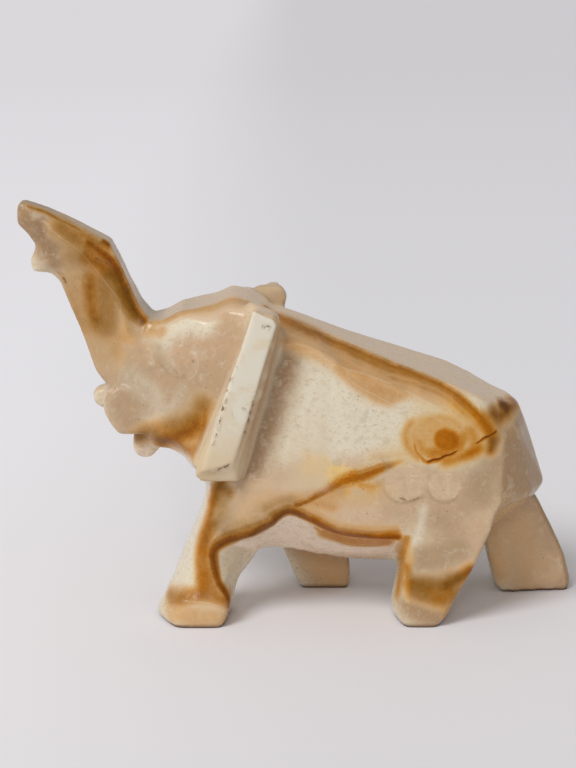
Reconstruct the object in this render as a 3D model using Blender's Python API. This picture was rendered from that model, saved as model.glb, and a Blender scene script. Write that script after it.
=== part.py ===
"""An elephant with a raised trunk, carved from one slab of banded alabaster.

Metres, +Z up. The soles stand on z = 0, the head looks along -X and the left flank faces -Y.
The pose and the carving are shares of three driving sizes, so each form is given by stations:
along in percent of LENGTH from the trunk tip, across in percent of half the WIDTH from the
middle, and up in percent of HEIGHT from the floor.
"""

import bmesh
import bpy

# Driving sizes: trunk tip to hind heel, ear to ear, and floor to trunk top
LENGTH = 0.1376
WIDTH = 0.046
HEIGHT = 0.1008

# Worn rims of the tusk and lip stubs: how far in they start, and how small the end face is left
STUB_RIM = 5
STUB_END_SCALE = 0.86

# How far across the edges of a leg's front and rear bevels lie where they meet its inner side
LEG_FRONT_ACROSS = 56
LEG_REAR_ACROSS = 40

# Where a leg's bevels bulge, as shares of the way from that edge to the outer face
BEVEL_ALONG = 0.55
BEVEL_ACROSS = 0.65

# Half the width of the flat keel along the belly
KEEL_HALF = 22

# Finish
STONE_COLOUR = (0.80, 0.66, 0.50, 1.0)
STONE_ROUGHNESS = 0.28

# The left side of the carving lies at negative across values
LEFT = -1
RIGHT = 1


def spot(along, across, up):
    """The place of a station, in metres."""
    return ((along / 100 - 0.5) * LENGTH, across / 100 * WIDTH / 2, up / 100 * HEIGHT)


def between(start, end, share):
    """The number that lies the given share of the way from start to end."""
    return start + (end - start) * share


def make_solid(name, points, faces, stone):
    """A closed object from points and faces, triangulated and facing out."""
    mesh = bpy.data.meshes.new(name)
    shape = bmesh.new()
    verts = [shape.verts.new(point) for point in points]
    for face in faces:
        shape.faces.new([verts[i] for i in face])
    bmesh.ops.recalc_face_normals(shape, faces=shape.faces)
    bmesh.ops.triangulate(shape, faces=shape.faces, quad_method="FIXED")
    shape.to_mesh(mesh)
    shape.free()
    mesh.materials.append(stone)
    return bpy.data.objects.new(name, mesh)


def loft(name, ribs, stone):
    """A solid stretched over ribs, which are rings of as many stations each, capped at both ends."""
    count = len(ribs[0])
    points = [spot(*station) for ring in ribs for station in ring]
    faces = [list(range(count)), list(range(len(points) - count, len(points)))]
    for start in range(0, len(points) - count, count):
        for i in range(count):
            here = start + i
            beside = start + (i + 1) % count
            faces.append([here, beside, beside + count, here + count])
    return make_solid(name, points, faces, stone)


def mirrored_rib(levels):
    """A ring from levels of (along, up, half width), down the left side and up the right."""
    left = [(along, -half, up) for along, up, half in levels]
    right = [(along, half, up) for along, up, half in reversed(levels)]
    return left + right


def rib_between(back, front, widths):
    """A ring across a limb from its back to its front edge, with widths as (share of the way, half width)."""
    levels = []
    for share, half in widths:
        levels.append((between(back[0], front[0], share), between(back[1], front[1], share), half))
    return mirrored_rib(levels)


def make_body(stone):
    """The barrel of the body: a level back strip, sloping shoulder facets, flanks and a low keel."""
    # along, back up, back half, shoulder up, shoulder half, left hem up, right hem up, hem half, keel up
    stations = [
        (36.0, 70.0, 26, 62.0, 60, 20.6, 30.0, 82, 18.0),
        (41.0, 75.2, 26, 69.0, 70, 22.3, 25.0, 84, 14.0),
        (44.2, 74.0, 24, 69.0, 73, 25.4, 24.5, 84, 14.7),
        (47.4, 72.7, 22, 69.0, 76, 28.8, 24.0, 84, 14.6),
        (50.0, 71.3, 24, 68.0, 77, 27.8, 23.5, 85, 13.8),
        (53.0, 69.7, 26, 66.4, 79, 25.5, 23.0, 85, 13.0),
        (58.0, 66.9, 35, 61.8, 83, 22.9, 22.5, 85, 12.0),
        (63.5, 64.1, 48, 59.4, 85, 21.6, 26.0, 85, 11.6),
        (70.0, 60.9, 57, 55.5, 85, 21.0, 29.0, 85, 11.8),
        (76.5, 57.7, 65, 51.0, 84, 19.0, 26.0, 83, 14.0),
        (80.6, 55.1, 64, 48.5, 80, 19.0, 24.0, 80, 16.0),
    ]
    # The chest comes forward between the forelegs as a blunt prow
    ribs = [mirrored_rib([(31.5, 58.0, 20), (31.5, 50.0, 40), (32.6, 33.0, 44), (34.4, 24.0, 16)])]
    for along, back, back_half, shoulder, shoulder_half, left_hem, right_hem, hem_half, keel in stations:
        down_left = [(back, back_half), (shoulder, shoulder_half), (left_hem, hem_half), (keel, KEEL_HALF)]
        up_right = [(keel, KEEL_HALF), (right_hem, hem_half), (shoulder, shoulder_half), (back, back_half)]
        ring = [(along, -half, up) for up, half in down_left]
        ring += [(along, half, up) for up, half in up_right]
        ribs.append(ring)
    # The haunch edge, the facet behind it, and the tail line that the rump narrows back to
    ribs.append(mirrored_rib([(84.0, 53.0, 44), (85.0, 45.5, 74), (84.6, 29.0, 78), (81.6, 19.0, 26)]))
    ribs.append(mirrored_rib([(86.8, 51.8, 28), (88.0, 45.5, 54), (89.6, 30.0, 55), (88.0, 23.5, 20)]))
    ribs.append(mirrored_rib([(88.6, 50.4, 12), (89.6, 47.0, 13), (93.4, 31.2, 13), (91.9, 28.0, 12)]))
    return loft("body", ribs, stone)


def make_trunk(stone):
    """The raised trunk, bent back at its shoulder, with a notch between its two lips."""
    # back edge, front edge, back strip half, (share, half) of the side ridge, front strip half
    stations = [
        ((0.6, 100.0), (0.0, 98.4), 12, (0.50, 13), 9),
        ((1.8, 99.6), (0.0, 94.6), 13, (0.50, 17), 9),
        ((5.2, 98.0), (1.7, 92.2), 15, (0.40, 20), 9),
        ((8.5, 95.9), (3.2, 89.3), 16, (0.40, 24), 10),
        ((11.0, 94.2), (2.1, 85.7), 17, (0.35, 26), 12),
        ((14.0, 92.0), (2.6, 83.0), 19, (0.35, 26), 12),
        ((16.1, 90.4), (5.8, 82.7), 20, (0.42, 26), 11),
        ((17.9, 85.6), (7.2, 80.8), 20, (0.38, 26), 10),
        ((19.4, 80.9), (8.9, 74.9), 22, (0.28, 28), 10),
        ((21.3, 75.4), (11.2, 67.0), 26, (0.26, 33), 12),
        ((23.2, 72.1), (13.3, 58.8), 32, (0.30, 38), 16),
        ((26.0, 70.0), (16.8, 53.0), 34, (0.45, 41), 26),
    ]
    ribs = []
    for back, front, strip, ridge, nose in stations:
        ribs.append(rib_between(back, front, [(0, strip), ridge, (1, nose)]))
    return loft("trunk", ribs, stone)


def make_head(stone):
    """The head, a wedge that widens from the trunk root back to the ears."""
    # brow (along, up), jaw (along, up), (share, half) down the side
    stations = [
        ((21.0, 70.6), (16.2, 55.0), [(0, 26), (0.15, 30), (0.85, 38), (1, 31)]),
        ((23.8, 71.8), (19.4, 48.5), [(0, 34), (0.12, 40), (0.90, 41), (1, 30)]),
        ((26.0, 72.6), (22.4, 44.3), [(0, 37), (0.12, 45), (0.90, 45), (1, 36)]),
        ((28.4, 74.4), (23.4, 41.0), [(0, 39), (0.12, 50), (0.88, 52), (1, 36)]),
        ((31.5, 75.3), (26.6, 40.8), [(0, 40), (0.06, 56), (0.88, 62), (1, 38)]),
        ((34.7, 76.3), (29.0, 39.4), [(0, 38), (0.10, 65), (0.90, 74), (1, 46)]),
        ((37.6, 78.3), (30.6, 37.3), [(0, 31), (0.05, 70), (0.95, 85), (1, 60)]),
        ((40.4, 77.3), (33.0, 36.6), [(0, 28), (0.03, 78), (0.98, 88), (1, 76)]),
        ((44.0, 74.8), (38.0, 37.5), [(0, 24), (0.04, 76), (0.95, 82), (1, 66)]),
    ]
    ribs = [rib_between(brow, jaw, widths) for brow, jaw, widths in stations]
    return loft("head", ribs, stone)


def make_stub(name, side_view, inner, outer, stone):
    """A stub with the given side view between two distances across, with its rims worn back."""
    middle_along = sum(along for along, up in side_view) / len(side_view)
    middle_up = sum(up for along, up in side_view) / len(side_view)
    rim = STUB_RIM if outer > inner else -STUB_RIM
    ends = [(inner, STUB_END_SCALE), (inner + rim, 1), (outer - rim, 1), (outer, STUB_END_SCALE)]
    ribs = []
    for across, scale in ends:
        ring = []
        for along, up in side_view:
            ring.append((between(middle_along, along, scale), across, between(middle_up, up, scale)))
        ribs.append(ring)
    return loft(name, ribs, stone)


def make_mouth(stone):
    """The tusk roots below the trunk, the one tusk stub that is left, on the right, and the lower lip."""
    tusk_root = [
        (18.8, 57.0),
        (15.6, 55.0),
        (14.7, 51.8),
        (15.0, 49.5),
        (15.9, 47.2),
        (17.5, 44.3),
        (22.3, 44.3),
        (24.5, 52.0),
    ]
    tusk = [
        (18.0, 55.0),
        (14.3, 53.0),
        (12.7, 52.4),
        (12.0, 51.2),
        (12.3, 49.2),
        (13.0, 48.0),
        (14.0, 47.5),
        (18.0, 46.0),
    ]
    lip = [
        (20.0, 48.0),
        (19.4, 38.6),
        (20.3, 36.9),
        (22.2, 36.3),
        (23.2, 37.2),
        (24.3, 38.9),
        (27.0, 42.5),
        (26.0, 48.0),
    ]
    return [
        make_stub("left tusk root", tusk_root, -8, -42, stone),
        make_stub("right tusk root", tusk_root, 8, 42, stone),
        make_stub("right tusk", tusk, 20, 50, stone),
        make_stub("lip", lip, -9, 26, stone),
    ]


def make_ear(side, front_top, rear_top, edge_drop, back_shift, stone):
    """One ear: a slanted slab that stands proud of the neck, with a sawn outer edge."""
    edge = [
        (41.5, front_top - edge_drop),
        (44.7, rear_top - edge_drop),
        (45.4, 73.6),
        (42.3, 57.3),
        (37.8, 40.7),
        (33.0, 38.8),
        (33.4, 42.0),
        (37.1, 58.5),
        (39.4, 68.0),
    ]
    bevel_foot = [
        (40.4, front_top),
        (45.0, rear_top),
        (46.1, 74.2),
        (43.1, 57.3),
        (38.3, 37.0),
        (31.3, 36.6),
        (31.4, 39.8),
        (36.0, 58.5),
        (38.5, 68.0),
    ]
    root = bevel_foot[:4] + [(38.6, 33.6), (33.6, 33.2)] + bevel_foot[6:]
    ribs = []
    for across, outline in ((60, root), (84, root), (93, bevel_foot), (100, edge)):
        ribs.append([(along + back_shift, side * across, up) for along, up in outline])
    return loft("ear", ribs, stone)


def make_leg(name, side, inner_front, inner_rear, levels, stone):
    """One leg, from its sole up into the body, with wide bevels before and behind a narrow outer face."""
    ribs = []
    for up, front, outer_front, outer_rear, rear, outer in levels:
        ring = [
            (front, inner_front),
            (front, LEG_FRONT_ACROSS),
            (between(front, outer_front, BEVEL_ALONG), between(LEG_FRONT_ACROSS, outer, BEVEL_ACROSS)),
            (outer_front, outer),
            (outer_rear, outer),
            (between(rear, outer_rear, BEVEL_ALONG), between(LEG_REAR_ACROSS, outer, BEVEL_ACROSS)),
            (rear, LEG_REAR_ACROSS),
            (rear, inner_rear),
        ]
        ribs.append([(along, side * across, up) for along, across in ring])
    return loft(name, ribs, stone)


def make_legs(stone):
    """The four legs in stride: left front and left rear forward, right front and right rear back."""
    # up, front bevel's inner edge, outer face from, outer face to, rear bevel's inner edge, outer face across
    left_front = [
        (0.0, 24.5, 28.0, 35.6, 37.2, 99),
        (2.2, 23.8, 27.4, 36.6, 37.5, 100),
        (6.6, 25.9, 28.6, 37.2, 38.0, 96),
        (9.0, 26.9, 30.0, 35.8, 38.7, 91),
        (14.0, 28.2, 30.8, 34.1, 41.5, 87),
        (20.0, 30.1, 31.6, 34.6, 44.0, 86),
        (27.0, 32.1, 33.2, 37.0, 46.0, 83),
        (33.0, 33.4, 34.6, 40.0, 48.0, 76),
        (46.0, 35.0, 37.0, 43.0, 48.0, 62),
    ]
    left_rear = [
        (0.0, 66.2, 68.2, 73.4, 75.2, 98),
        (2.0, 65.7, 67.2, 74.8, 76.4, 98),
        (8.8, 66.8, 67.7, 77.6, 78.6, 92),
        (16.3, 67.4, 68.4, 80.6, 81.6, 88),
        (23.0, 66.5, 69.4, 82.8, 83.4, 84),
        (30.0, 66.0, 71.0, 84.0, 84.4, 78),
        (44.0, 68.0, 72.0, 82.0, 83.0, 64),
    ]
    right_front = [
        (0.0, 49.6, 51.8, 57.2, 58.8, 94),
        (2.0, 48.9, 51.2, 57.8, 59.2, 96),
        (7.0, 47.4, 49.6, 57.2, 59.0, 91),
        (12.0, 46.0, 47.6, 55.4, 58.0, 87),
        (20.0, 42.0, 43.6, 53.0, 56.0, 86),
        (30.0, 36.0, 37.6, 49.0, 53.0, 81),
        (44.0, 36.0, 37.6, 47.0, 50.0, 64),
    ]
    right_rear = [
        (0.0, 87.0, 88.4, 97.2, 99.4, 94),
        (2.0, 85.4, 87.4, 98.2, 100.0, 96),
        (9.0, 84.2, 86.0, 96.4, 98.6, 91),
        (16.0, 83.0, 84.6, 93.2, 96.2, 87),
        (24.0, 80.0, 82.0, 88.8, 93.2, 82),
        (30.0, 78.0, 80.0, 85.0, 90.0, 78),
        (44.0, 77.0, 79.0, 82.0, 85.0, 62),
    ]
    return [
        make_leg("left front leg", LEFT, 26, 26, left_front, stone),
        make_leg("left rear leg", LEFT, 22, 26, left_rear, stone),
        make_leg("right front leg", RIGHT, 35, 35, right_front, stone),
        make_leg("right rear leg", RIGHT, 18, 28, right_rear, stone),
    ]


def make_stone():
    """The polished stone's plain finish."""
    stone = bpy.data.materials.new("alabaster")
    stone.use_nodes = True
    surface = stone.node_tree.nodes["Principled BSDF"]
    surface.inputs["Base Color"].default_value = STONE_COLOUR
    surface.inputs["Roughness"].default_value = STONE_ROUGHNESS
    surface.inputs["Metallic"].default_value = 0.0
    return stone


def main():
    """Builds the carving as one solid: the forms are joined to the body by a union."""
    for old in list(bpy.data.objects):
        bpy.data.objects.remove(old, do_unlink=True)
    stone = make_stone()
    forms = bpy.data.collections.new("forms")
    bpy.context.scene.collection.children.link(forms)
    pieces = [
        make_trunk(stone),
        make_head(stone),
        make_ear(LEFT, 78.4, 75.9, 1.1, 0.0, stone),
        make_ear(RIGHT, 76.5, 76.5, 0.4, 1.2, stone),
    ]
    pieces += make_mouth(stone)
    pieces += make_legs(stone)
    for piece in pieces:
        forms.objects.link(piece)
        piece.hide_render = True
        piece.display_type = "WIRE"
    elephant = make_body(stone)
    elephant.name = "elephant"
    bpy.context.scene.collection.objects.link(elephant)
    join = elephant.modifiers.new("join", "BOOLEAN")
    join.operation = "UNION"
    join.solver = "EXACT"
    join.operand_type = "COLLECTION"
    join.collection = forms


main()
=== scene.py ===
import math
import bpy
import numpy as np
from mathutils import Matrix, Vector, noise
from mathutils.bvhtree import BVHTree
from mathutils.kdtree import KDTree


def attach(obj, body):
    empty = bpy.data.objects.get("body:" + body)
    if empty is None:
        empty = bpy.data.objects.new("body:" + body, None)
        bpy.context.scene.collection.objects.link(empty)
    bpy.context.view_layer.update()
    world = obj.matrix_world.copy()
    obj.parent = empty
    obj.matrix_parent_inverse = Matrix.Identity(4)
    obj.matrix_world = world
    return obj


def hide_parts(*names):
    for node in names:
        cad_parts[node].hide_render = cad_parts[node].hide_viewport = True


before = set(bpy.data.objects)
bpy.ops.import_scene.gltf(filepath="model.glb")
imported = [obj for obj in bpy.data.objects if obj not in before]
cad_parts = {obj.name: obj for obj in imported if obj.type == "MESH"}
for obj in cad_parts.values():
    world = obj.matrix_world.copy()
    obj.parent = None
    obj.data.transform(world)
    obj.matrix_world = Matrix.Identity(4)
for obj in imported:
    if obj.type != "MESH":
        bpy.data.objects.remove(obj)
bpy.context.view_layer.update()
mm = 0.001
leftSide, rightSide = -1, 1

# The stone's own finer mesh. Lengths are in millimetres here and in all that follows, except the
# studio.
carving = {
    "meshStep": 0.58,        # spacing of the fine mesh
    "weldGap": 0.002,        # points of the solid that are closer than this become one
    "wornRuns": 9,           # smoothing runs that wear the facets' rims
    "footRuns": 26,          # extra runs that round the toes and heels
    "creaseRuns": 40,        # extra runs where two forms meet in a hollow
    "rumpRuns": 200,         # extra runs where the rump meets the hind leg
    "earKeep": 0.12,         # how much of the wear reaches the sawn ears
    "trunkKeep": 0.45,       # and the trunk's ridges
    "soleDepth": 0.3,        # what lies lower than this is a sole
    "soleRim": 0.9,          # radius of the soles' worn rims
    "toeDrop": 0.5,          # how far the left front toe's bevel is let down
    "creaseDepth": (0.003, 0.02),    # a hollow this deep takes none or all of the extra runs
    "creaseShare": 1.4, "creaseEar": 0.9, "creaseTrunk": 0.5,    # its share, and less of it there
    "earRim": ((-24.3, 37.3), (-12.6, 78.0)), "earWidth": 7.5,   # front rim's lower and upper end
    "earLean": (1.9, -1.2),  # shift of the left ear's upper end, in x and in z
    "sawnLean": 0.8,         # the sawn face takes that much less of it
    "earFoot": 0.9,          # how much higher the sawn faces' lower rims lie
    "earLevel": (36.4, 0.8),     # the bevels below them are drawn to this height, by this share
    "earRear": 1.2, "earRearFrom": (0.8, 1.2),   # the middle of the rear rims lies further forward
    "farEar": (1.0, 2.4),    # the right ear's rear edge is further forward, its top slopes
    "farEarBack": (0.5, 1.0), "farEarFront": (0.0, 0.75),   # from where to where in the ear's width
    "farEarTop": (0.85, 1.0),    # and in its height
    "chips": [(-2.4, 0.9, 0.5), (0.4, 1.0, 0.7), (2.2, 0.8, 0.5), (5.6, 1.3, 0.4)],   # x, radius, depth
    "chipCore": 0.3,         # share of a chip's radius that has its full depth
    "rimHeights": (26, 10, -0.2),    # where the belly's rim is looked for
    "broadWaves": (9.0, 0.12),   # hand polishing: length and height of the waves
    "closeWaves": (3.0, 0.04),
    "earCalm": 0.75,         # the ears have that much less of them
    "eyePlace": (-29.6, 64.4), "eyeSize": (4.4, 3.6),   # x and z, then half width and half height
    "eyeRise": (0.34, 0.12),     # the mound's height and the groove's depth
    "eyeTop": (0.3, 1.0), "eyeGroove": 0.16,     # from where the mound falls, and the groove's width
}

# Where the forms lie. Each limit: along what, then from where to where the zone grows. "out" is
# how far from the middle, "ends" how far from x = 0, and "tip" is z less x, towards the trunk's tip.
zones = {
    "ears": [("out", 18.4, 19.6), ("z", 32, 35), ("x", 8, 4)],
    "trunk": [("tip", 104, 122)],
    "leftLean": [("out", 15, 18), ("x", 1, -3)],
    "sawnLean": [("out", 20.5, 22.6)],
    "sawnFront": [("out", 20.6, 21.8), ("x", -4, -8)],
    "sawnFoot": [("z", 31, 34), ("z", 43, 36.5)],
    "bevelFoot": [("out", 15, 17.5), ("x", -4, -8), ("z", 30, 32), ("z", 39, 36.4)],
    "sawnRear": [("out", 21, 22.4)],
    "toe": [("x", -27, -31), ("z", 7, 1)],
    "feet": [("z", 11, 5)],
    "rump": [("x", 42, 45), ("x", 55, 52), ("z", 22, 26), ("z", 40, 36), ("out", 16, 13)],
    "cheeks": [("out", 6, 9)],
    "waves": [("z", 0.6, 4)],
    "sawnFace": [("out", 22.3, 22.75)],
    "warmSlab": [("z", 60, 36)],
    "bevels": [("out", 15.5, 17.5), ("z", 32, 35), ("x", 8, 4)],
    "farEar": [("y", 10, 12), ("y", 21, 19), ("z", 71, 73), ("x", -16, -13), ("x", 0, -3)],
    "rear": [("x", 45, 47), ("z", 53, 49)],
    "rearUnder": [("x", 40, 43), ("z", 16, 20)],
    "belly": [("z", 12, 16), ("z", 31, 28), ("ends", 28, 24)],
    "soleRim": [("z", 1, 0.3)],
    "topStrip": [("z", 40, 50)],
    "trunkStrip": [("tip", 97, 110)],
}


def readPoints(mesh):
    flat = np.empty(len(mesh.vertices) * 3)
    mesh.vertices.foreach_get("co", flat)
    return flat.reshape(-1, 3)


def readNormals(mesh):
    flat = np.empty(len(mesh.vertices) * 3)
    mesh.vertex_normals.foreach_get("vector", flat)
    return flat.reshape(-1, 3)


def setPoints(mesh, points):
    mesh.vertices.foreach_set("co", points.ravel())
    mesh.update()


def ramp(values, low, high):
    part = np.clip((values - low) / (high - low), 0, 1)
    return part * part * (3 - 2 * part)


def zone(points, name):
    # 1 for the points well inside a zone, 0 outside it
    x, y, z = points.T / mm
    along = {"x": x, "y": y, "z": z, "out": np.abs(y), "ends": np.abs(x), "tip": z - x}
    share = np.ones(len(points))
    for axis, start, end in zones[name]:
        share *= ramp(along[axis], start, end)
    return share


def wander(points, length, seed):
    # Soft noise from -1 to 1, one value per point
    place = Vector((seed * 7.3, seed * -3.1, seed * 5.7))
    return np.array([noise.noise(Vector(point) / (length * mm) + place) for point in points])


def ironed(values, edges, give, runs):
    # Each run moves a point part of the way to the mean of its neighbours
    first, second = edges[:, 0], edges[:, 1]
    count = np.bincount(edges.ravel(), minlength=len(values))
    give = np.asarray(give)
    give = np.broadcast_to(give[:, None] if give.ndim == 1 else give, values.shape)
    for run in range(runs):
        for axis in range(values.shape[1]):
            column = values[:, axis]
            around = np.bincount(first, column[second], len(values))
            around += np.bincount(second, column[first], len(values))
            values[:, axis] = column + give[:, axis] * (around / count - column)
    return values


def fineStone(cad):
    rough = bpy.data.objects.new("roughStone", cad.data.copy())
    bpy.context.scene.collection.objects.link(rough)
    weld = rough.modifiers.new("weld", "WELD")
    weld.merge_threshold = carving["weldGap"] * mm
    remesh = rough.modifiers.new("remesh", "REMESH")
    remesh.mode = "VOXEL"
    remesh.voxel_size = carving["meshStep"] * mm
    graph = bpy.context.evaluated_depsgraph_get()
    mesh = bpy.data.meshes.new_from_object(rough.evaluated_get(graph))
    # The remesh leaves faint steps, so its points go back to the solid's own faces
    solid = BVHTree.FromObject(cad, graph)
    setPoints(mesh, np.array([solid.find_nearest(Vector(point))[0] for point in readPoints(mesh)]))
    bpy.data.objects.remove(rough)
    mesh.name = "carvedStone"
    stone = bpy.data.objects.new("carvedStone", mesh)
    bpy.context.scene.collection.objects.link(stone)
    return stone


def shapeEars(points, ear):
    x, y, z = points.T       # views of the points, so moving them moves the points
    foot, top = carving["earRim"]
    climb = np.clip((z / mm - foot[1]) / (top[1] - foot[1]), 0, 1)

    def acrossEar():
        # 0 at the ear's front rim and 1 at its rear rim
        return (x / mm - foot[0] - climb * (top[0] - foot[0])) / carving["earWidth"]

    back = np.clip(acrossEar(), 0, 1)
    onLeft = y < 0
    # The left ear's front rim leans back towards the top, and its front corner lies lower
    lean = climb * (1 - back) * (1 - carving["sawnLean"] * zone(points, "sawnLean"))
    lean *= onLeft * zone(points, "leftLean") * mm
    x += lean * carving["earLean"][0]
    z += lean * climb ** 3 * carving["earLean"][1]
    # The sawn faces' lower rims lie higher, and the bevels below them run level
    sawn = zone(points, "sawnFront")
    z += sawn * zone(points, "sawnFoot") * carving["earFoot"] * mm
    level, share = carving["earLevel"]
    z += (1 - sawn) * zone(points, "bevelFoot") * share * (level * mm - z)
    # The middle of the sawn faces' rear rims lies further forward
    rear = ear * ramp(acrossEar(), *carving["earRearFrom"]) * zone(points, "sawnRear")
    x -= rear * 4 * climb * (1 - climb) * carving["earRear"] * mm
    # The right ear's rear edge lies further forward, and its top slopes
    forward, slope = carving["farEar"]
    atTop = (1 - ramp(back, *carving["farEarFront"])) * ramp(climb, *carving["farEarTop"])
    x -= ~onLeft * ear * ramp(back, *carving["farEarBack"]) * forward * mm
    z -= ~onLeft * ear * atTop * slope * mm


def softGive(share, sole):
    # How far a smoothing run moves each point, in x, y and z. The soles stay level.
    give = np.repeat(0.5 * share[:, None], 3, axis=1)
    give[sole, 2] = 0
    return give


def roundSoles(points, sole):
    # The rims of the soles are worn round
    rims = KDTree(int((~sole).sum()))
    for index, point in enumerate(points[~sole]):
        rims.insert(point, index)
    rims.balance()
    radius = carving["soleRim"] * mm
    for index in np.flatnonzero(sole):
        short = max(0, radius - rims.find(points[index])[2])
        points[index, 2] = radius - math.sqrt(radius ** 2 - short ** 2)


def creaseShare(points, normals, edges):
    # 1 in a hollow, where the neighbours' mean lies outside the surface
    middle = ironed(points.copy(), edges, 1.0, 1)
    hollow = ((middle - points) * normals).sum(1) / mm
    hollow = ironed(hollow[:, None], edges, 0.5, 10)
    crease = ironed(ramp(hollow, *carving["creaseDepth"]), edges, 0.5, 8)[:, 0]
    return np.clip(crease * carving["creaseShare"], 0, 1)


def chipBelly(mesh, points):
    # Small chips in the belly's lower rim on the left
    tree = BVHTree.FromPolygons(points.tolist(), [polygon.vertices for polygon in mesh.polygons])
    for x, radius, depth in carving["chips"]:
        rim = None
        for z in np.arange(*carving["rimHeights"]):
            hit = tree.ray_cast(Vector((x, -60, z)) * mm, Vector((0, 1, 0)))[0]
            if hit is not None and hit.y < 0:
                rim = np.array(hit)
        gap = np.linalg.norm(points - rim, axis=1)
        points[:, 2] += (1 - ramp(gap, carving["chipCore"] * radius * mm, radius * mm)) * depth * mm


def polishWaves(points, ear):
    # Shallow waves left by polishing each facet by hand
    waves = np.zeros(len(points))
    for seed, kind in enumerate(("broadWaves", "closeWaves"), 1):
        length, height = carving[kind]
        waves += wander(points, length, seed) * height
    # The eyes: low mounds inside a groove
    eyeX, eyeZ = carving["eyePlace"]
    wide, high = carving["eyeSize"]
    rise, groove = carving["eyeRise"]
    out = np.hypot((points[:, 0] / mm - eyeX) / wide, (points[:, 2] / mm - eyeZ) / high)
    mound = rise * (1 - ramp(out, *carving["eyeTop"]))
    ditch = groove * np.exp(-((out - 1) / carving["eyeGroove"]) ** 2)
    waves += zone(points, "cheeks") * (mound - ditch)
    return waves * (1 - carving["earCalm"] * ear) * zone(points, "waves") * mm


def wearStone(stone):
    mesh = stone.data
    points = readPoints(mesh)
    points[:, 2] -= points[:, 2].min()
    edges = np.empty(len(mesh.edges) * 2, dtype=np.int64)
    mesh.edges.foreach_get("vertices", edges)
    edges = edges.reshape(-1, 2)

    ear, onTrunk = zone(points, "ears"), zone(points, "trunk")
    keep = 1 - (1 - carving["earKeep"]) * ear
    keep = np.minimum(keep, 1 - (1 - carving["trunkKeep"]) * onTrunk)
    shapeEars(points, ear)
    # The left front toe is fuller at its sole
    points[:, 2] *= 1 - carving["toeDrop"] * zone(points, "toe") * (points[:, 1] < 0)
    sole = points[:, 2] < carving["soleDepth"] * mm
    points[sole, 2] = 0
    points = ironed(points, edges, softGive(keep, sole), carving["wornRuns"])
    roundSoles(points, sole)
    points = ironed(points, edges, softGive(zone(points, "feet"), sole), carving["footRuns"])
    setPoints(mesh, points)

    crease = creaseShare(points, readNormals(mesh), edges)
    crease *= (1 - carving["creaseEar"] * ear) * (1 - carving["creaseTrunk"] * onTrunk)
    points = ironed(points, edges, softGive(crease, sole), carving["creaseRuns"])
    # The rump runs into the hind leg without a ledge
    points = ironed(points, edges, 0.5 * zone(points, "rump"), carving["rumpRuns"])
    chipBelly(mesh, points)
    setPoints(mesh, points)
    points += readNormals(mesh) * polishWaves(points, ear)[:, None]
    setPoints(mesh, points)
    mesh.shade_smooth()


stone = fineStone(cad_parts["elephant"])
wearStone(stone)
print("fine stone mesh:", len(stone.data.vertices), "points,", len(stone.data.polygons), "faces")

# Colours as they show in white light, from 0 to 255. Some stand for light rather than for the stone: the
# tones of the top strips and of the ears' rear bevels are painted shade, and the palest is painted bounce
# light for the belly.
tones = {
    "milk": (221, 213, 192), "cream": (213, 197, 168), "rose": (190, 158, 126), "greige": (166, 139, 108),
    "drab": (156, 122, 86), "bark": (134, 102, 70), "topStripShade": (214, 188, 161), "slab": (219, 212, 195),
    "bevel": (205, 181, 152), "warmBevelShade": (190, 162, 128), "warmSlab": (210, 188, 152),
    "trunkStripShade": (178, 161, 140), "paintedBounceLight": (246, 226, 206),
    "straw": (232, 196, 122), "blush": (210, 176, 138), "lobe": (204, 177, 147), "umber": (90, 54, 18),
}

# Iron stain: how much it covers at each depth, and its colour there in each hue
stainDepths = (0, 0.14, 0.3, 0.45, 0.6, 0.74, 0.88, 1)
stainCovers = (0, 0.36, 0.8, 0.96, 1, 1, 1, 1)
stainTones = {
    "brown": [(214, 188, 150), (212, 180, 136), (204, 158, 100), (186, 136, 74), (164, 108, 38),
              (138, 80, 16), (110, 56, 6), (78, 40, 6)],
    "olive": [(200, 178, 144), (194, 168, 128), (180, 146, 100), (160, 120, 66), (142, 98, 36),
              (118, 76, 18), (92, 56, 10), (62, 38, 8)],
    "gold": [(224, 200, 150), (220, 192, 138), (210, 166, 96), (196, 138, 48), (180, 108, 0),
             (154, 84, 0), (118, 60, 0), (80, 40, 0)],
}

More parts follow.
